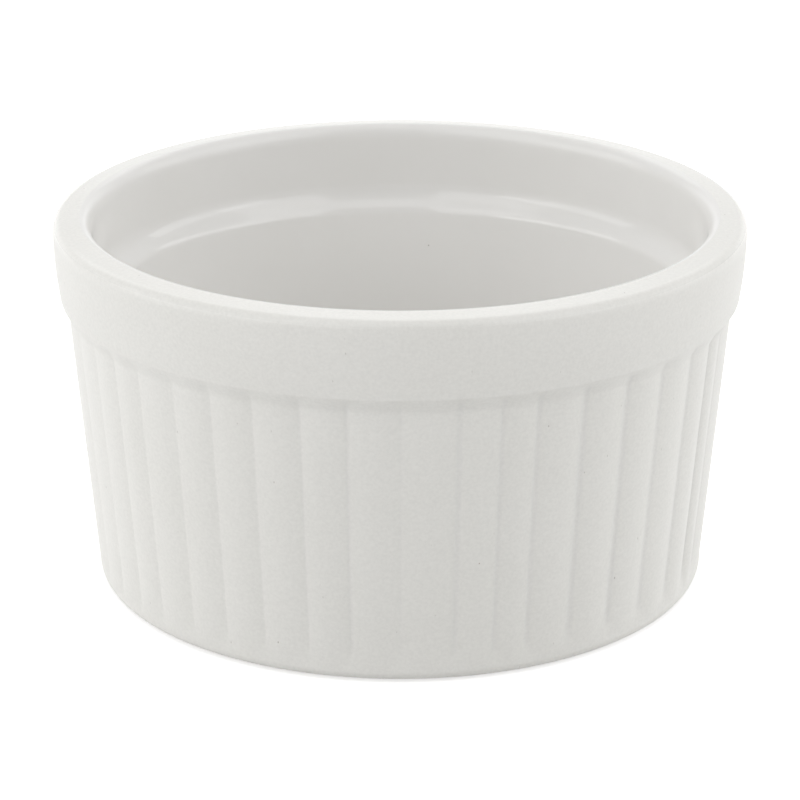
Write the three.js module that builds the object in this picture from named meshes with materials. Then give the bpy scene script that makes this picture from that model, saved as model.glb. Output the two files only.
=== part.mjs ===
// A fluted creme brulee dish: a fired clay body and the glazes that coat it.
// Millimetres, +Z up. The origin is on the table, at the centre of the foot ring.
// Each piece is turned about +Z from rings of points. Plain rings are round, ribbed rings follow the ribs.
import * as THREE from 'three';
import { mergeVertices } from 'three/addons/utils/BufferGeometryUtils.js';

// Overall sizes, measured over the glaze
const RIM_DIAMETER = 90;
const HEIGHT = 49;

// Rim: an oval rounding on each side of a top that falls slightly outwards
const RIM_THICKNESS = 4.9;
const OUTER_ROUND_WIDTH = 1.25;
const OUTER_ROUND_HEIGHT = 1.5;
const INNER_ROUND_WIDTH = 1.4;
const INNER_ROUND_HEIGHT = 2.2;
const RIM_TOP_FALL = 0.25;

// Plain band under the rim, and the soft step from it to the ribbed wall
const BAND_DEPTH = 9.9;
const BAND_TAPER = 0.6;
const BAND_BULGE = 0.15;
const STEP_WIDTH = 1.05;
const STEP_HEIGHT = 2.6;
const STEP_UPRIGHTS = [0.3, 0.35];

// Ribbed wall: rounded ribs with sharp valleys between them, which run out above the base's rounding
const WALL_LEAN = 4.85;
const WALL_THICKNESS = 5.1;
const BASE_ROUND = 1.6;
const RIB_COUNT = 45;
const RIB_DEPTH = 0.32;
const RIB_FULLNESS = 2;
const RIB_RUNOUT = 2.4;

// Inside: an upright mouth, a soft ledge, and a well with a rounded corner
const MOUTH_DEPTH = 8.4;
const LEDGE_HEIGHT = 4.4;
const LEDGE_UPRIGHTS = [0.55, 0.33];
const WELL_CORNER = 6;
const FLOOR_THICKNESS = 3.4;

// Bare foot ring, with a shallow recess inside it
const FOOT_SETBACK = 1.95;
const FOOT_WIDTH = 3.6;
const FOOT_INNER_SLOPE = 0.8;
const RECESS_DEPTH = 1.2;

// Glaze: its thickness, and how far round the base's rounding it stops
const GLAZE_THICKNESS = 0.35;
const GLAZE_LINE_ANGLE = 45;

// Facets
const ROUND_STEPS = 72;
const RIB_STEPS = 5;
const ROUNDING_STEPS = 3;
const CURVE_STEPS = 4;

// Radii and heights that follow from the sizes above
const rimRadius = RIM_DIAMETER / 2;
const mouthRadius = rimRadius - RIM_THICKNESS;
const crownRadius = mouthRadius + INNER_ROUND_WIDTH;
const crownEdgeRadius = rimRadius - OUTER_ROUND_WIDTH;
const bandLowerRadius = rimRadius - BAND_TAPER;
const bandLowerHeight = HEIGHT - BAND_DEPTH;
const bandUpperHeight = HEIGHT - RIM_TOP_FALL - OUTER_ROUND_HEIGHT;
const wallTopRadius = bandLowerRadius - STEP_WIDTH;
const wallTopHeight = bandLowerHeight - STEP_HEIGHT;
const wallSlope = Math.tan(THREE.MathUtils.degToRad(WALL_LEAN));
const baseRadius = wallRadius(BASE_ROUND);
const ribFootHeight = BASE_ROUND + RIB_RUNOUT;
const ledgeTopHeight = HEIGHT - MOUTH_DEPTH;
const ledgeFootHeight = ledgeTopHeight - LEDGE_HEIGHT;
const floorHeight = RECESS_DEPTH + FLOOR_THICKNESS + 2 * GLAZE_THICKNESS;
const footOuterRadius = baseRadius - FOOT_SETBACK;
const footInnerRadius = footOuterRadius - FOOT_WIDTH;
const recessRadius = footInnerRadius - FOOT_INNER_SLOPE;

// Radius of the leaning wall over its rib crests, at a height
function wallRadius(height) {
  return wallTopRadius - (wallTopHeight - height) * wallSlope;
}

// One ring of an outline: its radius, its height, and whether the ribs mark it
function ring(radius, height, ribbed = false) {
  return { radius, height, ribbed };
}

// Rings round a quarter or part of an oval, between two angles in degrees
function rounding(centreRadius, centreHeight, width, height, from, to) {
  const [start, end] = [from, to].map(THREE.MathUtils.degToRad);
  const curve = new THREE.EllipseCurve(centreRadius, centreHeight, width, height, start, end, end < start);
  return curve.getPoints(ROUNDING_STEPS).map((point) => ring(point.x, point.y));
}

// Rings along an S-shaped curve. Its two ends are upright, each over its own share of the height.
function swoop(fromRadius, fromHeight, toRadius, toHeight, uprights) {
  const [fromReach, toReach] = uprights.map((upright) => (toHeight - fromHeight) * upright);
  const curve = new THREE.CubicBezierCurve(
    new THREE.Vector2(fromRadius, fromHeight),
    new THREE.Vector2(fromRadius, fromHeight + fromReach),
    new THREE.Vector2(toRadius, toHeight - toReach),
    new THREE.Vector2(toRadius, toHeight),
  );
  return curve.getPoints(CURVE_STEPS).map((point) => ring(point.x, point.y));
}

// The glazed surface outside, from the glaze line near the foot up to the top of the rim
function outsideOutline() {
  const step = swoop(wallTopRadius, wallTopHeight, bandLowerRadius, bandLowerHeight, STEP_UPRIGHTS);
  const bandMiddle = ring(
    (bandLowerRadius + rimRadius) / 2 + BAND_BULGE,
    (bandLowerHeight + bandUpperHeight) / 2,
  );
  return [
    ...rounding(baseRadius - BASE_ROUND, BASE_ROUND, BASE_ROUND, BASE_ROUND, -GLAZE_LINE_ANGLE, 0),
    ring(wallRadius(ribFootHeight), ribFootHeight, true),
    ring(wallTopRadius, wallTopHeight, true),
    ...step.slice(1),
    bandMiddle,
    ...rounding(crownEdgeRadius, bandUpperHeight, OUTER_ROUND_WIDTH, OUTER_ROUND_HEIGHT, 0, 90),
    ring(crownRadius, HEIGHT),
  ];
}

// The glazed surface inside, from the top of the rim down to the middle of the floor
function insideOutline() {
  const wellTopRadius = wallRadius(ledgeFootHeight) - WALL_THICKNESS;
  const cornerHeight = floorHeight + WELL_CORNER;
  const cornerRadius = wallRadius(cornerHeight) - WALL_THICKNESS;
  return [
    ...rounding(crownRadius, HEIGHT - INNER_ROUND_HEIGHT, INNER_ROUND_WIDTH, INNER_ROUND_HEIGHT, 90, 180),
    ...swoop(mouthRadius, ledgeTopHeight, wellTopRadius, ledgeFootHeight, LEDGE_UPRIGHTS),
    ...rounding(cornerRadius - WELL_CORNER, cornerHeight, WELL_CORNER, WELL_CORNER, 0, -90),
    ring(0, floorHeight),
  ];
}

// The same outline one glaze thickness deeper, where the clay begins. Each corner moves along its mitre.
function clayOutline(outline) {
  const normals = outline.slice(1).map((point, i) => {
    const run = new THREE.Vector2(point.radius - outline[i].radius, point.height - outline[i].height);
    return new THREE.Vector2(-run.y, run.x).normalize();
  });
  return outline.map((point, i) => {
    const before = normals[Math.max(i - 1, 0)];
    const after = normals[Math.min(i, normals.length - 1)];
    const mitre = before.clone().add(after).normalize();
    const reach = GLAZE_THICKNESS / mitre.dot(after);
    return ring(point.radius + mitre.x * reach, point.height + mitre.y * reach, point.ribbed);
  });
}

// How far a rib lies below its crest, by the share of the way across it from one valley to the next
function ribDip(across) {
  const fromCrest = Math.abs(2 * across - 1);
  return RIB_DEPTH * fromCrest ** RIB_FULLNESS;
}

// The points of one ring, going round from the front. A ring on the axis is a single point.
function ringPoints({ radius, height, ribbed }) {
  if (radius === 0) return [new THREE.Vector3(0, 0, height)];
  const count = ribbed ? RIB_COUNT * RIB_STEPS : ROUND_STEPS;
  return Array.from({ length: count }, (_, i) => {
    const dip = ribbed ? ribDip((i % RIB_STEPS) / RIB_STEPS) : 0;
    const turn = (i / count) * 2 * Math.PI;
    return new THREE.Vector3((radius - dip) * Math.sin(turn), -(radius - dip) * Math.cos(turn), height);
  });
}

// Triangles between two rings, which may have different counts of points
function joinRings(first, second) {
  const triangles = [];
  const firstCount = first.length > 1 ? first.length : 0;
  const secondCount = second.length > 1 ? second.length : 0;
  let i = 0;
  let j = 0;
  while (i < firstCount || j < secondCount) {
    const a = first[i % first.length];
    const b = second[j % second.length];
    const firstIsNext = i < firstCount && (i + 1) * secondCount <= (j + 1) * firstCount;
    if (firstIsNext || j === secondCount) {
      i += 1;
      triangles.push([a, first[i % first.length], b]);
    } else {
      j += 1;
      triangles.push([a, second[j % second.length], b]);
    }
  }
  return triangles;
}

// The surface swept through the rings of an outline, in order
function skin(outline) {
  const rings = outline.map(ringPoints);
  return rings.slice(1).flatMap((points, i) => joinRings(rings[i], points));
}

// The closed surface between a glazed outline and the clay outline under it
function coat(glazed, clay) {
  const underFace = skin(clay).map(([a, b, c]) => [a, c, b]);
  const startEdge = skin([clay[0], glazed[0]]);
  const finishEdge = skin([glazed.at(-1), clay.at(-1)]);
  return [...startEdge, ...skin(glazed), ...finishEdge, ...underFace];
}

// A named piece made of triangles, with its finish
function piece(name, triangles, finish) {
  const soup = new THREE.BufferGeometry().setFromPoints(triangles.flat());
  const geometry = mergeVertices(soup);
  geometry.computeVertexNormals();
  const mesh = new THREE.Mesh(geometry, new THREE.MeshStandardMaterial({ metalness: 0, ...finish }));
  mesh.name = name;
  return mesh;
}

const BARE_CLAY = { color: 0xe4dfd5, roughness: 0.9 };
const SATIN_WHITE_GLAZE = { color: 0xefeeea, roughness: 0.42 };
const GLOSS_WHITE_GLAZE = { color: 0xefeeea, roughness: 0.18 };

const outside = outsideOutline();
const inside = insideOutline();
const clay = clayOutline([...outside, ...inside.slice(1)]);
const clayOutside = clay.slice(0, outside.length);
const clayInside = clay.slice(outside.length - 1);
const underside = [ring(0, RECESS_DEPTH), ring(recessRadius, RECESS_DEPTH)];
const clayUnderside = underside.map(({ radius, height }) => ring(radius, height + GLAZE_THICKNESS));
const foot = [ring(footInnerRadius, 0), ring(footOuterRadius, 0)];

const dish = new THREE.Group();
dish.add(
  piece('clay_body', skin([...clayUnderside, ...foot, ...clay]), BARE_CLAY),
  piece('outside_glaze', coat(outside, clayOutside), SATIN_WHITE_GLAZE),
  piece('inside_glaze', coat(inside, clayInside), GLOSS_WHITE_GLAZE),
  piece('underside_glaze', coat(underside, clayUnderside), SATIN_WHITE_GLAZE),
);

export default dish;
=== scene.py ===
"""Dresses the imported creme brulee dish: its clay body, its three glazes, and a plain white studio round it.

Every piece is turned about +Z from an outline, a list of points that each hold a radius and a height.
An outline goes up the outside, over the rim and down the inside, so that its faces point outwards.
The ribs are pressed into the turned wall afterwards, by a Geometry Nodes tree.
"""

import math

import bpy
from bpy.props import FloatProperty, FloatVectorProperty, IntProperty, PointerProperty
from mathutils import Euler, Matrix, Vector


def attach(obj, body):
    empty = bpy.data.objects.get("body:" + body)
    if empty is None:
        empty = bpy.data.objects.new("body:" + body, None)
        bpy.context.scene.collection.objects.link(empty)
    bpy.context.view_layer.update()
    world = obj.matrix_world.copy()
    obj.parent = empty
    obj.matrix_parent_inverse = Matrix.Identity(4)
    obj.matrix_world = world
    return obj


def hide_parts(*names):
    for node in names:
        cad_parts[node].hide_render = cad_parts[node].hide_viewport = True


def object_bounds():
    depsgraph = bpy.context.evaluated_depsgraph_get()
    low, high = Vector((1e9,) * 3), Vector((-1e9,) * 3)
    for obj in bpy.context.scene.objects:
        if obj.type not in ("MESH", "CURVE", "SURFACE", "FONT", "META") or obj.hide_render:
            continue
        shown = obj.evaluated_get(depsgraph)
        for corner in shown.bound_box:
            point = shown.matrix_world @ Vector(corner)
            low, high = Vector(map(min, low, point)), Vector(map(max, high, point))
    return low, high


bl_info = {
    "name": "Creme Brulee Dish",
    "version": (1, 0, 0),
    "blender": (4, 5, 0),
    "location": "View3D > Sidebar > Dish",
    "description": "Makes a ribbed creme brulee dish with its glazes, and a plain studio round it",
    "category": "Add Mesh",
}

MM = 0.001

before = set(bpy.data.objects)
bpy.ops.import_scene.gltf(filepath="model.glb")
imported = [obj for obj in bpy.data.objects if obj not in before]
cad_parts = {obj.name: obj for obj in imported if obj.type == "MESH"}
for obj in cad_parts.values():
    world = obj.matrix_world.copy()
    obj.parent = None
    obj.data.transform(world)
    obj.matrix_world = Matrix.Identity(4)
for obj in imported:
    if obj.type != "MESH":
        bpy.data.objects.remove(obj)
CAD_LOW, CAD_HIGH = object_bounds()


def linear(hex_colour):
    """An sRGB hex colour, such as "EFEEEA", as linear red, green, blue and alpha."""
    channels = [int(hex_colour[i:i + 2], 16) / 255 for i in (0, 2, 4)]
    return (*(c / 12.92 if c <= 0.04045 else ((c + 0.055) / 1.055) ** 2.4 for c in channels), 1.0)


def length(name, description, millimetres):
    """A property for a length, written in millimetres and kept in metres."""
    return FloatProperty(
        name=name, description=description, default=millimetres * MM, precision=5,
        unit="LENGTH", subtype="DISTANCE",
    )


def angle(name, description, degrees):
    """A property for an angle, written in degrees and kept in radians."""
    return FloatProperty(
        name=name, description=description, default=math.radians(degrees), unit="ROTATION", subtype="ANGLE",
    )


def colour(name, description, hex_colour):
    """A property for a colour, written as sRGB hex and kept linear."""
    return FloatVectorProperty(
        name=name, description=description, default=linear(hex_colour), size=4, min=0, max=1, subtype="COLOR",
    )


class DishSizes(bpy.types.PropertyGroup):
    """Sizes of the dish, measured over its glaze."""

    rim_diameter: length("Rim diameter", "Across the top of the plain band", (CAD_HIGH.x - CAD_LOW.x) / MM)
    height: length("Height", "From the table to the top of the rim", (CAD_HIGH.z - CAD_LOW.z) / MM)

    rim_thickness: length("Rim thickness", "From the mouth to the outside of the band", 4.9)
    outer_round_width: length("Outer rounding width", "Oval rounding outside the rim, across", 1.25)
    outer_round_height: length("Outer rounding height", "Oval rounding outside the rim, upright", 1.5)
    inner_round_width: length("Inner rounding width", "Oval rounding inside the rim, across", 1.4)
    inner_round_height: length("Inner rounding height", "Oval rounding inside the rim, upright", 2.2)
    rim_top_fall: length("Rim top fall", "How far the top of the rim falls outwards", 0.25)

    band_depth: length("Band depth", "From the top of the rim to the band's lower edge", 9.9)
    band_taper: length("Band taper", "How much the band's radius shrinks downwards", 0.6)
    band_bulge: length("Band bulge", "How far the middle of the band swells", 0.15)
    step_width: length("Step width", "How far the wall stands in under the band", 1.05)
    step_height: length("Step height", "Height of the soft step under the band", 2.6)

    wall_lean: angle("Wall lean", "Lean of the ribbed wall from upright", 4.85)
    wall_thickness: length("Wall thickness", "From the rib crests to the well", 5.1)
    base_round: length("Base rounding", "Radius at the foot of the wall", 1.6)
    rib_count: IntProperty(name="Rib count", description="Ribs round the wall", default=45, min=3)
    rib_depth: length("Rib depth", "From a rib's crest to the valley beside it", 0.32)
    rib_runout: length("Rib run-out", "Height over which the valleys fade out above the base", 2.4)

    mouth_depth: length("Mouth depth", "From the top of the rim down to the ledge inside", 8.4)
    ledge_height: length("Ledge height", "Height of the soft ledge inside", 4.4)
    well_corner: length("Well corner", "Radius between the well's wall and its floor", 6.0)
    floor_thickness: length("Floor thickness", "Clay between the well and the recess underneath", 3.4)

    foot_setback: length("Foot setback", "From the base's edge in to the foot ring", 1.95)
    foot_width: length("Foot width", "Width of the bare foot ring", 3.6)
    foot_inner_slope: length("Foot inner slope", "Slope inside the foot ring, across", 0.8)
    recess_depth: length("Recess depth", "Height of the underside above the table", 1.2)

    glaze_thickness: length("Glaze thickness", "Thickness of every glaze coat", 0.35)
    glaze_line_angle: angle("Glaze line", "How far round the base's rounding the glaze goes", 45)

    @property
    def rim_radius(self):
        return self.rim_diameter / 2

    @property
    def mouth_radius(self):
        return self.rim_radius - self.rim_thickness

    @property
    def crown_radius(self):
        return self.mouth_radius + self.inner_round_width

    @property
    def band_foot(self):
        return self.rim_radius - self.band_taper, self.height - self.band_depth

    @property
    def band_top(self):
        return self.rim_radius, self.height - self.rim_top_fall - self.outer_round_height

    @property
    def wall_top(self):
        radius, height = self.band_foot
        return radius - self.step_width, height - self.step_height

    @property
    def floor_height(self):
        return self.recess_depth + self.floor_thickness + 2 * self.glaze_thickness

    def wall_radius(self, height):
        """Radius of the leaning wall over its rib crests."""
        top_radius, top_height = self.wall_top
        return top_radius - (top_height - height) * math.tan(self.wall_lean)


class DishFinishes(bpy.types.PropertyGroup):
    """Colours of the glazes and the clay."""

    satin_white: colour("Satin white", "Glaze outside and underneath", "EFEEEA")
    satin_cloud: colour("Satin cloud", "Faint clouds in the satin glaze", "EBEAE5")
    # Painted shade: the satin glaze is drawn greyer along each rib valley, where shade falls in the crease
    painted_valley_shade: colour("Painted valley shade", "Painted shade along the rib valleys of the satin glaze", "EAE9E5")
    gloss_white: colour("Gloss white", "Glaze inside", "EFEEEC")
    gloss_cloud: colour("Gloss cloud", "Faint clouds in the gloss glaze", "ECEBE8")
    pit_grey: colour("Pit grey", "Pinholes in the glaze", "A8A49C")
    iron_brown: colour("Iron brown", "Specks of iron from the clay", "8A6A55")
    clay_cream: colour("Clay cream", "Bare fired clay", "E4DFD5")
    clay_shade: colour("Clay shade", "Darker grains in the bare clay", "D2CABC")


class DishStudio(bpy.types.PropertyGroup):
    """The camera, the light and the floor."""

    aim_height: length("Aim height", "Height of the point that the camera looks at", 22.27)
    camera_distance: length("Camera distance", "From the camera to that point", 407.3)
    camera_rise: angle("Camera rise", "How far the camera looks down", 20.57)
    lens: FloatProperty(name="Lens", description="Focal length", default=137.64, unit="CAMERA")
    tent: FloatProperty(
        name="Tent", description="Light from the white tent all round", default=0.955, min=0,
    )
    floor_white: colour("Floor white", "Paper that the dish stands on", "DCDCDC")
    floor_lift: FloatProperty(
        name="Floor lift", description="Glow that takes the paper to white", default=0.62, min=0,
    )


# Outlines

def straight(start, end, steps):
    """Points along a straight line."""
    (r0, z0), (r1, z1) = start, end
    return [(r0 + (r1 - r0) * i / steps, z0 + (z1 - z0) * i / steps) for i in range(steps + 1)]


def oval(centre, width, height, start, end, steps):
    """Points round part of an oval, between two angles in radians."""
    turns = [start + (end - start) * i / steps for i in range(steps + 1)]
    return [(centre[0] + width * math.cos(t), centre[1] + height * math.sin(t)) for t in turns]


def swoop(start, end, uprights, steps):
    """Points along an S-shaped curve. Its two ends are upright, each over its own share of the height."""
    (r0, z0), (r1, z1) = start, end
    first, last = uprights
    points = []
    for i in range(steps + 1):
        t = i / steps
        share = t * t * (3 - 2 * t)
        rise = 3 * t * (1 - t) * ((1 - t) * first + t * (1 - last)) + t ** 3
        points.append((r0 + (r1 - r0) * share, z0 + (z1 - z0) * rise))
    return points


def bowed(start, end, bulge, steps):
    """Points along a line that swells in the middle."""
    points = straight(start, end, steps)
    return [(r + bulge * 4 * i / steps * (1 - i / steps), z) for i, (r, z) in enumerate(points)]


SAME_POINT = 0.001 * MM


def chain(*stretches):
    """Stretches of an outline in order, with each shared end kept once."""
    outline = list(stretches[0])
    for stretch in stretches[1:]:
        shared = math.dist(outline[-1], stretch[0]) < SAME_POINT
        outline += stretch[1:] if shared else stretch
    return outline


# Shares of the height over which the two ends of the step and of the ledge stand upright
STEP_UPRIGHTS = (0.3, 0.35)
LEDGE_UPRIGHTS = (0.55, 0.33)


def outside_outline(sizes):
    """The glazed surface outside, from the glaze line near the foot up to the top of the rim."""
    base = (sizes.wall_radius(sizes.base_round), sizes.base_round)
    base_centre = (base[0] - sizes.base_round, sizes.base_round)
    crown_edge = (sizes.rim_radius - sizes.outer_round_width, sizes.height - sizes.rim_top_fall)
    rounding_centre = (crown_edge[0], sizes.band_top[1])
    return chain(
        oval(base_centre, sizes.base_round, sizes.base_round, -sizes.glaze_line_angle, 0, steps=8),
        straight(base, sizes.wall_top, steps=44),
        swoop(sizes.wall_top, sizes.band_foot, STEP_UPRIGHTS, steps=14),
        bowed(sizes.band_foot, sizes.band_top, sizes.band_bulge, steps=12),
        oval(rounding_centre, sizes.outer_round_width, sizes.outer_round_height, 0, math.pi / 2, steps=16),
        straight(crown_edge, (sizes.crown_radius, sizes.height), steps=4),
    )


def inside_outline(sizes):
    """The glazed surface inside, from the top of the rim down to the middle of the floor."""
    mouth_top = sizes.height - sizes.inner_round_height
    rounding = (sizes.inner_round_width, sizes.inner_round_height)
    ledge_top = sizes.height - sizes.mouth_depth
    ledge_foot = ledge_top - sizes.ledge_height
    well_top = (sizes.wall_radius(ledge_foot) - sizes.wall_thickness, ledge_foot)
    corner_height = sizes.floor_height + sizes.well_corner
    corner = (sizes.wall_radius(corner_height) - sizes.wall_thickness, corner_height)
    corner_centre = (corner[0] - sizes.well_corner, corner_height)
    return chain(
        oval((sizes.crown_radius, mouth_top), *rounding, math.pi / 2, math.pi, steps=18),
        straight((sizes.mouth_radius, mouth_top), (sizes.mouth_radius, ledge_top), steps=8),
        swoop((sizes.mouth_radius, ledge_top), well_top, LEDGE_UPRIGHTS, steps=18),
        straight(well_top, corner, steps=16),
        oval(corner_centre, sizes.well_corner, sizes.well_corner, 0, -math.pi / 2, steps=12),
        straight((corner_centre[0], sizes.floor_height), (0, sizes.floor_height), steps=10),
    )


def sunk(outline, depth):
    """The same outline, moved into the clay by a glaze's thickness."""
    moved = []
    for i, (radius, height) in enumerate(outline):
        before = Vector(outline[max(i - 1, 0)])
        after = Vector(outline[min(i + 1, len(outline) - 1)])
        run = (after - before).normalized()
        moved.append((radius - run.y * depth if radius > 0 else 0.0, height + run.x * depth))
    return moved


def dish_outlines(sizes):
    """The glazed outlines outside and inside, each with the clay outline under it."""
    outside = outside_outline(sizes)
    inside = inside_outline(sizes)
    clay = sunk(outside + inside[1:], sizes.glaze_thickness)
    split = len(outside)
    return outside, clay[:split], inside, clay[split - 1:]


def underside_outlines(sizes):
    """The glazed underside in the recess, the clay over it, and the bare foot ring."""
    foot_outer = sizes.wall_radius(sizes.base_round) - sizes.foot_setback
    foot_inner = foot_outer - sizes.foot_width
    recess = foot_inner - sizes.foot_inner_slope
    glazed = straight((0, sizes.recess_depth), (recess, sizes.recess_depth), steps=12)
    clay = [(radius, height + sizes.glaze_thickness) for radius, height in glazed]
    foot = straight((foot_inner, 0), (foot_outer, 0), steps=4)
    return glazed, clay, foot


# Turned meshes

# Faces across each rib, and how strongly they crowd towards its valleys
RIB_CUTS = 12
VALLEY_CROWDING = 0.55


def even_turns(count):
    """Angles at even steps round the axis."""
    return [2 * math.pi * i / count for i in range(count)]


def rib_turns(ribs):
    """Angles round the axis that crowd together towards the valleys between the ribs."""
    turns = []
    for i in range(ribs * RIB_CUTS):
        rib, cut = divmod(i, RIB_CUTS)
        across = cut / RIB_CUTS
        crowded = across - VALLEY_CROWDING * math.sin(2 * math.pi * across) / (2 * math.pi)
        turns.append(2 * math.pi * (rib + crowded) / ribs)
    return turns


def turned_mesh(name, outline, turns, closed):
    """A mesh turned about +Z from an outline. A closed outline joins up with its own start."""
    points = []
    rings = []
    for radius, height in outline:
        ring_turns = turns if radius > 0 else [0.0]
        rings.append(range(len(points), len(points) + len(ring_turns)))
        points += [(radius * math.sin(t), -radius * math.cos(t), height) for t in ring_turns]
    faces = []
    pairs = list(zip(rings, rings[1:] + rings[:1] if closed else rings[1:]))
    for lower, upper in pairs:
        for i in range(len(turns)):
            j = (i + 1) % len(turns)
            corners = [
                lower[i % len(lower)], lower[j % len(lower)],
                upper[j % len(upper)], upper[i % len(upper)],
            ]
            face = list(dict.fromkeys(corners))
            if len(face) > 2:
                faces.append(face)
    mesh = bpy.data.meshes.new(name)
    mesh.from_pydata(points, [], faces)
    mesh.validate()
    return mesh


SHARP_EDGE = math.radians(40)


def make_piece(name, mesh, node):
    """An object for a finished mesh, which stands for one node of the frame."""
    mesh.name = name
    mesh.set_sharp_from_angle(angle=SHARP_EDGE)
    piece = bpy.data.objects.new(name, mesh)
    bpy.context.scene.collection.objects.link(piece)
    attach(piece, "root")
    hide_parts(node)
    return piece


# Nodes

def add(tree, kind, inputs=None, **settings):
    """Adds a node to a tree, with its settings, and links or sets its inputs by name or number."""
    node = tree.nodes.new(kind)
    for name, value in settings.items():
        setattr(node, name, value)
    for key, value in (inputs or {}).items():
        named = [socket for socket in node.inputs if socket.name == key and socket.enabled]
        socket = node.inputs[key] if isinstance(key, int) else named[0]
        if isinstance(value, bpy.types.Node):
            value = next(output for output in value.outputs if output.enabled)
        if isinstance(value, bpy.types.NodeSocket):
            tree.links.new(value, socket)
        else:
            socket.default_value = value
    return node


RIB_INPUTS = (
    ("Rib count", "NodeSocketInt"),
    ("Rib depth", "NodeSocketFloat"),
    ("Fullness", "NodeSocketFloat"),
    ("Depth drift", "NodeSocketFloat"),
    ("Foot height", "NodeSocketFloat"),
    ("Foot slope", "NodeSocketFloat"),
    ("Top height", "NodeSocketFloat"),
    ("Top slope", "NodeSocketFloat"),
    ("Edge softness", "NodeSocketFloat"),
    ("Uneven spacing", "NodeSocketFloat"),
    ("Uneven depth", "NodeSocketFloat"),
    ("Seed", "NodeSocketInt"),
    ("Material", "NodeSocketMaterial"),
)


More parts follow.
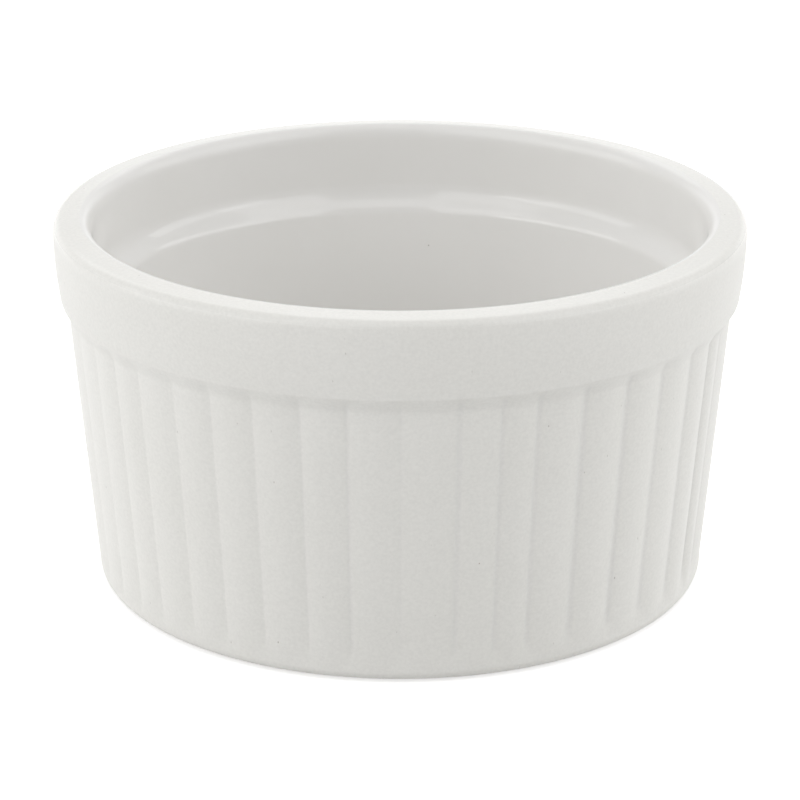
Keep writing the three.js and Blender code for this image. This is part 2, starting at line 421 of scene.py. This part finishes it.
def rib_tree():
    """A Geometry Nodes tree that presses upright ribs into the outside of a turned wall.

    Each rib is rounded, and falls to a sharp valley on each side. The valleys stand at slightly uneven
    angles, run out above the base, and end at the top against the sloping underside of the band.
    """
    tree = bpy.data.node_groups.new("Pressed ribs", "GeometryNodeTree")
    tree.interface.new_socket(name="Geometry", in_out="INPUT", socket_type="NodeSocketGeometry")
    for name, kind in RIB_INPUTS:
        tree.interface.new_socket(name=name, in_out="INPUT", socket_type=kind)
    tree.interface.new_socket(name="Geometry", in_out="OUTPUT", socket_type="NodeSocketGeometry")
    given = add(tree, "NodeGroupInput").outputs

    # Where a point is: its radius, its turn from the front in ribs, and its share of the way across its rib
    place = add(tree, "ShaderNodeSeparateXYZ", {0: add(tree, "GeometryNodeInputPosition")}).outputs
    flat = add(tree, "ShaderNodeCombineXYZ", {"X": place["X"], "Y": place["Y"]})
    radius = add(tree, "ShaderNodeVectorMath", {0: flat}, operation="LENGTH").outputs["Value"]
    behind = add(tree, "ShaderNodeMath", {0: place["Y"], 1: -1.0}, operation="MULTIPLY")
    turn = add(tree, "ShaderNodeMath", {0: place["X"], 1: behind}, operation="ARCTAN2")
    pitch = add(tree, "ShaderNodeMath", {0: 2 * math.pi, 1: given["Rib count"]}, operation="DIVIDE")
    ribs_round = add(tree, "ShaderNodeMath", {0: turn, 1: pitch}, operation="DIVIDE")
    rib = add(tree, "ShaderNodeMath", {0: ribs_round}, operation="FLOOR")
    across = add(tree, "ShaderNodeMath", {0: ribs_round}, operation="FRACT")

    # Chance values for the valley before and the valley after the rib, blended across it
    next_rib = add(tree, "ShaderNodeMath", {0: rib, 1: 1.0}, operation="ADD")
    valleys = [
        add(tree, "ShaderNodeMath", {0: number, 1: given["Rib count"]}, operation="FLOORED_MODULO")
        for number in (rib, next_rib)
    ]
    depth_seed = add(tree, "ShaderNodeMath", {0: given["Seed"], 1: 1.0}, operation="ADD")
    chances = []
    for seed in (given["Seed"], depth_seed):
        ends = [
            add(tree, "FunctionNodeRandomValue", {"Min": -1.0, "Max": 1.0, "ID": valley, "Seed": seed})
            for valley in valleys
        ]
        chances.append(add(tree, "ShaderNodeMapRange", {
            "Value": across, "To Min": ends[0], "To Max": ends[1],
        }))
    shift, deepening = chances

    # The share of the rib's depth that a point lies below the crest. Fullness 2 makes the rib an arc.
    from_middle = add(tree, "ShaderNodeMath", {0: across, 1: 2.0, 2: -1.0}, operation="MULTIPLY_ADD")
    from_crest = add(tree, "ShaderNodeMath", {0: from_middle}, operation="ABSOLUTE")
    dip_share = add(tree, "ShaderNodeMath", {0: from_crest, 1: given["Fullness"]}, operation="POWER")

    # The valleys are unevenly deep, and deepest on the right of the dish
    sideways = add(tree, "ShaderNodeMath", {0: turn}, operation="SINE")
    drift = add(tree, "ShaderNodeMath", {
        0: sideways, 1: given["Depth drift"], 2: 1.0,
    }, operation="MULTIPLY_ADD")
    uneven = add(tree, "ShaderNodeMath", {
        0: deepening, 1: given["Uneven depth"], 2: drift,
    }, operation="MULTIPLY_ADD")
    depth = add(tree, "ShaderNodeMath", {0: given["Rib depth"], 1: uneven}, operation="MULTIPLY")
    pressed = add(tree, "ShaderNodeMath", {0: dip_share, 1: depth}, operation="MULTIPLY")

    # The ribs end where the wall's run-out and the band's underside cut across them
    above_foot = add(tree, "ShaderNodeMath", {0: place["Z"], 1: given["Foot height"]}, operation="SUBTRACT")
    foot_limit = add(tree, "ShaderNodeMath", {0: above_foot, 1: given["Foot slope"]}, operation="MULTIPLY")
    below_top = add(tree, "ShaderNodeMath", {0: given["Top height"], 1: place["Z"]}, operation="SUBTRACT")
    top_limit = add(tree, "ShaderNodeMath", {0: below_top, 1: given["Top slope"]}, operation="MULTIPLY")
    for limit in (foot_limit, top_limit):
        pressed = add(tree, "ShaderNodeMath", {
            0: pressed, 1: limit, 2: given["Edge softness"],
        }, operation="SMOOTH_MIN")
    pressed = add(tree, "ShaderNodeMath", {0: pressed, 1: 0.0}, operation="MAXIMUM")
    outside = add(tree, "GeometryNodeInputNamedAttribute", {"Name": "outside"}, data_type="FLOAT")
    dip = add(tree, "ShaderNodeMath", {0: pressed, 1: outside}, operation="MULTIPLY")

    # The point's new place, moved in by the dip and turned by the uneven spacing
    new_radius = add(tree, "ShaderNodeMath", {0: radius, 1: dip}, operation="SUBTRACT")
    shift_limit = add(tree, "ShaderNodeMath", {0: pitch, 1: given["Uneven spacing"]}, operation="MULTIPLY")
    new_turn = add(tree, "ShaderNodeMath", {0: shift, 1: shift_limit, 2: turn}, operation="MULTIPLY_ADD")
    sine = add(tree, "ShaderNodeMath", {0: new_turn}, operation="SINE")
    cosine = add(tree, "ShaderNodeMath", {0: new_turn}, operation="COSINE")
    front = add(tree, "ShaderNodeMath", {0: new_radius, 1: -1.0}, operation="MULTIPLY")
    new_place = add(tree, "ShaderNodeCombineXYZ", {
        "X": add(tree, "ShaderNodeMath", {0: new_radius, 1: sine}, operation="MULTIPLY"),
        "Y": add(tree, "ShaderNodeMath", {0: front, 1: cosine}, operation="MULTIPLY"),
        "Z": place["Z"],
    })
    # Keeps how deep each point is pressed, which the satin glaze uses to paint shade along the valleys
    valley_dip_share = add(tree, "ShaderNodeMath", {0: dip, 1: given["Rib depth"]}, operation="DIVIDE")
    kept = add(tree, "GeometryNodeStoreNamedAttribute", {
        "Geometry": given["Geometry"], "Name": "valley_dip_share", "Value": valley_dip_share,
    }, data_type="FLOAT", domain="POINT")
    moved = add(tree, "GeometryNodeSetPosition", {"Geometry": kept, "Position": new_place})
    whole = add(tree, "GeometryNodeRealizeInstances", {"Geometry": moved})
    coated = add(tree, "GeometryNodeSetMaterial", {"Geometry": whole, "Material": given["Material"]})
    add(tree, "NodeGroupOutput", {"Geometry": coated})
    return tree


# The ribs' arc, the share of the step's height that they reach up to, the slope that they end against
# there, and by how much the ribs differ from each other
RIB_FULLNESS = 2.0
RIB_REACH = 0.85
RIB_END_SLOPE = 0.45
DEPTH_DRIFT = 0.4
EDGE_SOFTNESS = 0.16 * MM
UNEVEN_SPACING = 0.2
UNEVEN_DEPTH = 0.15
RIB_SEED = 1229075


def press_ribs(mesh, outside_points, sizes, material):
    """The mesh with the ribs pressed into its first points, which are the ones outside."""
    mark = mesh.attributes.new("outside", "FLOAT", "POINT")
    marks = [1.0 if i < outside_points else 0.0 for i in range(len(mesh.vertices))]
    mark.data.foreach_set("value", marks)
    tree = bpy.data.node_groups.get("Pressed ribs") or rib_tree()
    top_height = sizes.wall_top[1] + RIB_REACH * sizes.step_height
    values = {
        "Rib count": sizes.rib_count,
        "Rib depth": sizes.rib_depth,
        "Fullness": RIB_FULLNESS,
        "Depth drift": DEPTH_DRIFT,
        "Foot height": sizes.base_round,
        "Foot slope": sizes.rib_depth / sizes.rib_runout,
        "Top height": top_height,
        "Top slope": RIB_END_SLOPE,
        "Edge softness": EDGE_SOFTNESS,
        "Uneven spacing": UNEVEN_SPACING,
        "Uneven depth": UNEVEN_DEPTH,
        "Seed": RIB_SEED,
        "Material": material,
    }
    blank = bpy.data.objects.new(mesh.name, mesh)
    bpy.context.scene.collection.objects.link(blank)
    modifier = blank.modifiers.new("Pressed ribs", "NODES")
    modifier.node_group = tree
    for item in tree.interface.items_tree:
        if item.name in values:
            modifier[item.identifier] = values[item.name]
    graph = bpy.context.evaluated_depsgraph_get()
    pressed = bpy.data.meshes.new_from_object(blank.evaluated_get(graph), depsgraph=graph)
    blank.modifiers.remove(modifier)
    bpy.data.objects.remove(blank)
    return pressed


# Materials

def new_material(name):
    """A material with its own node tree, its shader, and Object coordinates to draw patterns on."""
    material = bpy.data.materials.new(name)
    material.use_nodes = True
    tree = material.node_tree
    tree.nodes.clear()
    shader = add(tree, "ShaderNodeBsdfPrincipled")
    add(tree, "ShaderNodeOutputMaterial", {"Surface": shader})
    place = add(tree, "ShaderNodeTexCoord").outputs["Object"]
    return material, tree, shader, place


CERAMIC_IOR = 1.5
GLOSS_IOR = 1.6
SATIN_ROUGHNESS = 0.46
RIM_ROUGHNESS = 0.25

# How far below the top of the rim each glaze starts and stops changing to the rim's roughness
SATIN_BLEND = (2.2 * MM, 0.7 * MM)
GLOSS_BLEND = (5 * MM, 1.5 * MM)


def rim_roughness(tree, place, roughness, rim_height, blend):
    """The roughness of a glaze, which near the rim's top changes to the one that both glazes have there."""
    start, stop = blend
    height = add(tree, "ShaderNodeSeparateXYZ", {0: place}).outputs["Z"]
    return add(tree, "ShaderNodeMapRange", {
        "Value": height, "From Min": rim_height - start, "From Max": rim_height - stop,
        "To Min": roughness, "To Max": RIM_ROUGHNESS,
    }, interpolation_type="SMOOTHSTEP")


SATIN_CLOUD = 16 * MM
SATIN_PIT_CELL = 1.5 * MM
SATIN_SPECK_CELL = 10 * MM
SATIN_GRAIN = 0.4 * MM


def satin_glaze(sizes, finishes):
    """White stoneware glaze, sprayed on and fired to a satin surface.

    It scatters light softly, with faint clouds, fine grain, few pinholes, rare iron specks and painted valley
    shade.
    """
    material, tree, shader, place = new_material("Satin white stoneware glaze")
    cloud = add(tree, "ShaderNodeTexNoise", {"Vector": place, "Scale": 1 / SATIN_CLOUD, "Detail": 3.0})
    cloudy = add(tree, "ShaderNodeMix", {
        "Factor": cloud, "A": finishes.satin_white, "B": finishes.satin_cloud,
    }, data_type="RGBA")
    # Painted shade along the rib valleys: the colour turns greyer towards each valley line, in place of the
    # shade in the crease
    valley_dip_share = add(tree, "ShaderNodeAttribute", attribute_name="valley_dip_share").outputs["Fac"]
    valley_shade_mask = add(tree, "ShaderNodeMapRange", {"Value": valley_dip_share, "From Min": 0.75})
    valley_shaded = add(tree, "ShaderNodeMix", {
        "Factor": valley_shade_mask, "A": cloudy, "B": finishes.painted_valley_shade,
    }, data_type="RGBA")

    # Pinholes, up to 0.2 mm across and twice as tall, one to a cell. Most of them are faint.
    upright = add(tree, "ShaderNodeMapping", {"Vector": place, "Scale": (1.0, 1.0, 0.5)})
    pit_cell = add(tree, "ShaderNodeTexVoronoi", {"Vector": upright, "Scale": 1 / SATIN_PIT_CELL}).outputs
    pit_chance = add(tree, "ShaderNodeSeparateColor", {"Color": pit_cell["Color"]}).outputs["Red"]
    pit_here = add(tree, "ShaderNodeMath", {0: pit_chance, 1: 3.0}, operation="POWER")
    pit_shape = add(tree, "ShaderNodeMapRange", {
        "Value": pit_cell["Distance"], "From Min": 0.02, "From Max": 0.07, "To Min": 1.0, "To Max": 0.0,
    })
    pit = add(tree, "ShaderNodeMath", {0: pit_here, 1: pit_shape}, operation="MULTIPLY")
    pitted = add(tree, "ShaderNodeMix", {
        "Factor": pit, "A": valley_shaded, "B": finishes.pit_grey,
    }, data_type="RGBA")

    # Specks of iron, about 0.3 mm across, in nearly half of their cells
    speck_cell = add(tree, "ShaderNodeTexVoronoi", {"Vector": place, "Scale": 1 / SATIN_SPECK_CELL}).outputs
    speck_chance = add(tree, "ShaderNodeSeparateColor", {"Color": speck_cell["Color"]}).outputs["Green"]
    speck_here = add(tree, "ShaderNodeMath", {0: speck_chance, 1: 0.55}, operation="GREATER_THAN")
    speck_shape = add(tree, "ShaderNodeMapRange", {
        "Value": speck_cell["Distance"], "From Min": 0.006, "From Max": 0.016, "To Min": 1.0, "To Max": 0.0,
    })
    speck = add(tree, "ShaderNodeMath", {0: speck_here, 1: speck_shape}, operation="MULTIPLY")
    specked = add(tree, "ShaderNodeMix", {
        "Factor": speck, "A": pitted, "B": finishes.iron_brown,
    }, data_type="RGBA")

    # The grain of real satin glaze is about 0.1 mm, and is drawn larger so that it shows
    grain = add(tree, "ShaderNodeTexNoise", {"Vector": place, "Scale": 1 / SATIN_GRAIN, "Detail": 2.0})
    shade = add(tree, "ShaderNodeMapRange", {
        "Value": grain, "From Min": 0.25, "From Max": 0.75, "To Min": 0.96, "To Max": 1.03,
    })
    shaded = add(tree, "ShaderNodeVectorMath", {0: specked, "Scale": shade}, operation="SCALE")
    tree.links.new(shaded.outputs["Vector"], shader.inputs["Base Color"])
    grainy = add(tree, "ShaderNodeMapRange", {
        "Value": grain, "To Min": SATIN_ROUGHNESS - 0.05, "To Max": SATIN_ROUGHNESS + 0.05,
    })
    roughness = rim_roughness(tree, place, grainy, sizes.height, SATIN_BLEND)
    tree.links.new(roughness.outputs["Result"], shader.inputs["Roughness"])
    grained = add(tree, "ShaderNodeBump", {"Height": grain, "Strength": 0.1, "Distance": 0.02 * MM})
    dented = add(tree, "ShaderNodeBump", {
        "Height": pit, "Strength": 0.6, "Distance": 0.1 * MM, "Normal": grained,
    }, invert=True)
    tree.links.new(dented.outputs["Normal"], shader.inputs["Normal"])
    shader.inputs["IOR"].default_value = CERAMIC_IOR
    return material


GLOSS_CLOUD = 14 * MM
GLOSS_PIT_CELL = 6 * MM
GLOSS_RIPPLE = 7 * MM


def gloss_glaze(sizes, finishes):
    """White lining glaze, poured in, swilled round and fired glossy.

    It mirrors the tent in soft-edged patches that waver slightly, and has hardly any pinholes.
    """
    material, tree, shader, place = new_material("Gloss white lining glaze")
    cloud = add(tree, "ShaderNodeTexNoise", {"Vector": place, "Scale": 1 / GLOSS_CLOUD, "Detail": 3.0})
    cloudy = add(tree, "ShaderNodeMix", {
        "Factor": cloud, "A": finishes.gloss_white, "B": finishes.gloss_cloud,
    }, data_type="RGBA")
    pit_cell = add(tree, "ShaderNodeTexVoronoi", {"Vector": place, "Scale": 1 / GLOSS_PIT_CELL}).outputs
    pit_chance = add(tree, "ShaderNodeSeparateColor", {"Color": pit_cell["Color"]}).outputs["Red"]
    pit_here = add(tree, "ShaderNodeMath", {0: pit_chance, 1: 0.65}, operation="GREATER_THAN")
    pit_shape = add(tree, "ShaderNodeMapRange", {
        "Value": pit_cell["Distance"], "From Min": 0.01, "From Max": 0.026, "To Min": 0.7, "To Max": 0.0,
    })
    pit = add(tree, "ShaderNodeMath", {0: pit_here, 1: pit_shape}, operation="MULTIPLY")
    pitted = add(tree, "ShaderNodeMix", {
        "Factor": pit, "A": cloudy, "B": finishes.pit_grey,
    }, data_type="RGBA")
    tree.links.new(pitted.outputs["Result"], shader.inputs["Base Color"])

    # Swilling leaves long, low ripples
    ripple = add(tree, "ShaderNodeTexNoise", {"Vector": place, "Scale": 1 / GLOSS_RIPPLE, "Detail": 1.0})
    gloss = add(tree, "ShaderNodeMapRange", {"Value": ripple, "To Min": 0.03, "To Max": 0.06})
    roughness = rim_roughness(tree, place, gloss, sizes.height, GLOSS_BLEND)
    tree.links.new(roughness.outputs["Result"], shader.inputs["Roughness"])
    rippled = add(tree, "ShaderNodeBump", {"Height": ripple, "Strength": 0.3, "Distance": 0.15 * MM})
    tree.links.new(rippled.outputs["Normal"], shader.inputs["Normal"])
    shader.inputs["IOR"].default_value = GLOSS_IOR
    return material


CLAY_GRIT = 0.3 * MM
CLAY_PATCH = 5 * MM


def bare_clay(finishes):
    """Bare stoneware clay, wiped clean of glaze and fired: dry, cream and gritty to the eye."""
    material, tree, shader, place = new_material("Bare fired stoneware")
    grit = add(tree, "ShaderNodeTexNoise", {"Vector": place, "Scale": 1 / CLAY_GRIT, "Detail": 3.0})
    patch = add(tree, "ShaderNodeTexNoise", {"Vector": place, "Scale": 1 / CLAY_PATCH, "Detail": 2.0})
    mixed = add(tree, "ShaderNodeMath", {0: grit, 1: patch}, operation="MULTIPLY")
    shade = add(tree, "ShaderNodeMapRange", {"Value": mixed, "From Min": 0.15, "From Max": 0.4})
    tinted = add(tree, "ShaderNodeMix", {
        "Factor": shade, "A": finishes.clay_cream, "B": finishes.clay_shade,
    }, data_type="RGBA")
    tree.links.new(tinted.outputs["Result"], shader.inputs["Base Color"])
    rough = add(tree, "ShaderNodeMapRange", {"Value": grit, "To Min": 0.82, "To Max": 0.95})
    tree.links.new(rough.outputs["Result"], shader.inputs["Roughness"])
    gritty = add(tree, "ShaderNodeBump", {"Height": grit, "Strength": 0.5, "Distance": 0.05 * MM})
    tree.links.new(gritty.outputs["Normal"], shader.inputs["Normal"])
    shader.inputs["IOR"].default_value = CERAMIC_IOR
    return material


# Operators

LINING_STEPS = 240


def finish_material(name, maker, *settings):
    """A finish made once and shared by the pieces that have it."""
    return bpy.data.materials.get(name) or maker(*settings)


class DISH_OT_clay_body(bpy.types.Operator):
    """Makes the fired clay, with its ribs, rim, ledge, floor and bare foot ring"""

    bl_idname = "dish.clay_body"
    bl_label = "Clay Body"

    def execute(self, context):
        sizes = context.scene.dish_sizes
        _, clay_outside, _, clay_inside = dish_outlines(sizes)
        _, clay_underside, foot = underside_outlines(sizes)
        below = clay_underside + foot
        outline = below + clay_outside + clay_inside[1:]
        turns = rib_turns(sizes.rib_count)
        mesh = turned_mesh("clay_blank", outline, turns, closed=False)
        outside_points = 1 + (len(below) - 1 + len(clay_outside)) * len(turns)
        material = finish_material("Bare fired stoneware", bare_clay, context.scene.dish_finishes)
        pressed = press_ribs(mesh, outside_points, sizes, material)
        make_piece("fired_clay_body", pressed, "clay_body")
        return {"FINISHED"}


class DISH_OT_outside_glaze(bpy.types.Operator):
    """Makes the satin coat from the foot, over the ribs and the band, to the top of the rim"""

    bl_idname = "dish.outside_glaze"
    bl_label = "Outside Glaze"

    def execute(self, context):
        sizes = context.scene.dish_sizes
        outside, clay_outside, _, _ = dish_outlines(sizes)
        turns = rib_turns(sizes.rib_count)
        mesh = turned_mesh("outside_blank", outside + clay_outside[::-1], turns, closed=True)
        finishes = context.scene.dish_finishes
        material = finish_material("Satin white stoneware glaze", satin_glaze, sizes, finishes)
        pressed = press_ribs(mesh, len(mesh.vertices), sizes, material)
        make_piece("satin_outside_glaze", pressed, "outside_glaze")
        return {"FINISHED"}


class DISH_OT_inside_glaze(bpy.types.Operator):
    """Makes the gloss coat from the top of the rim down to the floor of the well"""

    bl_idname = "dish.inside_glaze"
    bl_label = "Inside Glaze"

    def execute(self, context):
        sizes = context.scene.dish_sizes
        _, _, inside, clay_inside = dish_outlines(sizes)
        outline = clay_inside[::-1] + inside
        mesh = turned_mesh("inside_blank", outline, even_turns(LINING_STEPS), closed=False)
        finishes = context.scene.dish_finishes
        material = finish_material("Gloss white lining glaze", gloss_glaze, sizes, finishes)
        mesh.materials.append(material)
        make_piece("gloss_inside_glaze", mesh, "inside_glaze")
        return {"FINISHED"}


class DISH_OT_underside_glaze(bpy.types.Operator):
    """Makes the satin coat in the recess inside the foot ring"""

    bl_idname = "dish.underside_glaze"
    bl_label = "Underside Glaze"

    def execute(self, context):
        sizes = context.scene.dish_sizes
        glazed, clay, _ = underside_outlines(sizes)
        mesh = turned_mesh("underside_blank", glazed + clay[::-1], even_turns(LINING_STEPS), closed=False)
        finishes = context.scene.dish_finishes
        material = finish_material("Satin white stoneware glaze", satin_glaze, sizes, finishes)
        mesh.materials.append(material)
        make_piece("satin_underside_glaze", mesh, "underside_glaze")
        return {"FINISHED"}


def aim_from(thing, aim, turn, rise, distance):
    """Places a camera or a lamp at a turn from the front, a rise and a distance, and points it at its aim."""
    away = Euler((0, 0, turn)).to_matrix() @ Vector((0, -math.cos(rise), math.sin(rise)))
    thing.location = aim + away * distance
    thing.rotation_euler = away.to_track_quat("Z", "Y").to_euler()
    bpy.context.scene.collection.objects.link(thing)


# Each lamp: its name, its turn from the front and its rise in degrees, its distance, width and height
# in metres, and its power in watts
LAMPS = (
    ("Left softbox", -72, 14, 0.8, 0.9, 0.5, 1.5),
    ("Right softbox", 86, 14, 0.8, 0.9, 0.5, 1.4),
)

# Each patch of the tent that isn't plain: its middle, half its width, its lowest and highest rise and its
# soft edge, in degrees, and the share of the tent's light that it gives. Overlapping shares multiply.
TENT_PATCHES = (
    (12, 75, -90, 15, 5, 0.2),
    (5, 72, 15, 52, 2, 1.9),
    (9, 24, 15, 52, 2, 0.12),
    (9, 35, 52, 72, 2, 1.3),
    (180, 45, 26, 46, 4, 2.1),
    (180, 45, -90, 12, 4, 1.6),
    (0, 200, 72, 120, 5, 0.9),
)
FLOOR_WIDTH = 4.0
FLOOR_GAP = 0.02 * MM


class DISH_OT_studio(bpy.types.Operator):
    """Makes the camera, the softboxes, the light tent and the white paper floor"""

    bl_idname = "dish.studio"
    bl_label = "Studio"

    def execute(self, context):
        scene = context.scene
        studio = scene.dish_studio
        scene.view_settings.view_transform = "Standard"
        aim = Vector((0, 0, studio.aim_height))

        camera = bpy.data.objects.new("Camera", bpy.data.cameras.new("Camera"))
        camera.data.lens = studio.lens
        camera.data.clip_start = 10 * MM
        aim_from(camera, aim, 0, studio.camera_rise, studio.camera_distance)
        scene.camera = camera

        for name, turn, rise, distance, width, height, watts in LAMPS:
            data = bpy.data.lights.new(name, "AREA")
            data.shape = "RECTANGLE"
            data.size = width
            data.size_y = height
            data.energy = watts
            lamp = bpy.data.objects.new(name, data)
            aim_from(lamp, aim, math.radians(turn), math.radians(rise), distance)

        scene.world = light_tent(studio)
        half = FLOOR_WIDTH / 2
        corners = [(-half, -half), (half, -half), (half, half), (-half, half)]
        paper = bpy.data.meshes.new("Paper floor")
        paper.from_pydata([(x, y, -FLOOR_GAP) for x, y in corners], [], [(0, 1, 2, 3)])
        paper.materials.append(paper_floor(studio))
        floor = bpy.data.objects.new("Paper floor", paper)
        scene.collection.objects.link(floor)
        return {"FINISHED"}


def light_tent(studio):
    """A white tent all round, dim near the floor in front, and dark where the camera looks in.

    It is brighter on both sides of that opening, above it, overhead and behind.
    """
    world = bpy.data.worlds.new("Light tent")
    world.use_nodes = True
    tree = world.node_tree
    tree.nodes.clear()
    direction = add(tree, "ShaderNodeTexCoord").outputs["Generated"]
    place = add(tree, "ShaderNodeSeparateXYZ", {0: direction}).outputs
    front = add(tree, "ShaderNodeMath", {0: place["Y"], 1: -1.0}, operation="MULTIPLY")
    turn = add(tree, "ShaderNodeMath", {0: place["X"], 1: front}, operation="ARCTAN2")
    rise = add(tree, "ShaderNodeMath", {0: place["Z"]}, operation="ARCSINE")
    strength = studio.tent
    for *degrees, share in TENT_PATCHES:
        middle, half_width, low, high, edge = map(math.radians, degrees)
        from_middle = add(tree, "ShaderNodeMath", {0: turn, 1: middle}, operation="SUBTRACT")
        nearest = add(tree, "ShaderNodeMath", {0: from_middle, 1: math.pi, 2: -math.pi}, operation="WRAP")
        aside = add(tree, "ShaderNodeMath", {0: nearest}, operation="ABSOLUTE")
        inside = share - 1
        for value, limit, way in ((aside, half_width, 1), (rise, high, 1), (rise, low, -1)):
            inside = add(tree, "ShaderNodeMapRange", {
                "Value": value, "From Min": limit - way * edge, "From Max": limit + way * edge,
                "To Min": inside, "To Max": 0.0,
            }, interpolation_type="SMOOTHSTEP")
        changed = add(tree, "ShaderNodeMath", {0: inside, 1: 1.0}, operation="ADD")
        strength = add(tree, "ShaderNodeMath", {0: changed, 1: strength}, operation="MULTIPLY")
    light = add(tree, "ShaderNodeBackground", {"Strength": strength})
    add(tree, "ShaderNodeOutputWorld", {"Surface": light})
    return world


def paper_floor(studio):
    """White backdrop paper, matt and plain. A slight glow takes it to white and leaves the dish's shadow."""
    material = bpy.data.materials.new("White backdrop paper")
    material.use_nodes = True
    tree = material.node_tree
    tree.nodes.clear()
    paper = add(tree, "ShaderNodeBsdfDiffuse", {"Color": studio.floor_white})
    seen = add(tree, "ShaderNodeLightPath").outputs
    seen_or_mirrored = add(tree, "ShaderNodeMath", {
        0: seen["Is Camera Ray"], 1: seen["Is Glossy Ray"],
    }, operation="ADD")
    shown = add(tree, "ShaderNodeMath", {
        0: seen_or_mirrored, 1: seen["Is Transmission Ray"],
    }, operation="ADD", use_clamp=True)
    lift = add(tree, "ShaderNodeMath", {0: shown, 1: studio.floor_lift}, operation="MULTIPLY")
    glow = add(tree, "ShaderNodeEmission", {"Strength": lift})
    both = add(tree, "ShaderNodeAddShader", {0: paper, 1: glow})
    add(tree, "ShaderNodeOutputMaterial", {"Surface": both})
    return material


class DISH_PT_build(bpy.types.Panel):
    """Lists the dish's pieces, sizes and colours in the sidebar"""

    bl_idname = "DISH_PT_build"
    bl_label = "Creme Brulee Dish"
    bl_space_type = "VIEW_3D"
    bl_region_type = "UI"
    bl_category = "Dish"

    def draw(self, context):
        for operator in OPERATORS:
            self.layout.operator(operator.bl_idname)
        scene = context.scene
        for group in (scene.dish_sizes, scene.dish_finishes, scene.dish_studio):
            column = self.layout.column(align=True)
            for name in group.__annotations__:
                column.prop(group, name)


OPERATORS = (
    DISH_OT_clay_body,
    DISH_OT_outside_glaze,
    DISH_OT_inside_glaze,
    DISH_OT_underside_glaze,
    DISH_OT_studio,
)
CLASSES = (DishSizes, DishFinishes, DishStudio, *OPERATORS, DISH_PT_build)


def register():
    for cls in CLASSES:
        bpy.utils.register_class(cls)
    bpy.types.Scene.dish_sizes = PointerProperty(type=DishSizes)
    bpy.types.Scene.dish_finishes = PointerProperty(type=DishFinishes)
    bpy.types.Scene.dish_studio = PointerProperty(type=DishStudio)


def unregister():
    del bpy.types.Scene.dish_studio
    del bpy.types.Scene.dish_finishes
    del bpy.types.Scene.dish_sizes
    for cls in reversed(CLASSES):
        bpy.utils.unregister_class(cls)


def main():
    register()
    bpy.ops.dish.clay_body()
    bpy.ops.dish.outside_glaze()
    bpy.ops.dish.inside_glaze()
    bpy.ops.dish.underside_glaze()
    bpy.ops.dish.studio()


if __name__ == "__main__":
    main()
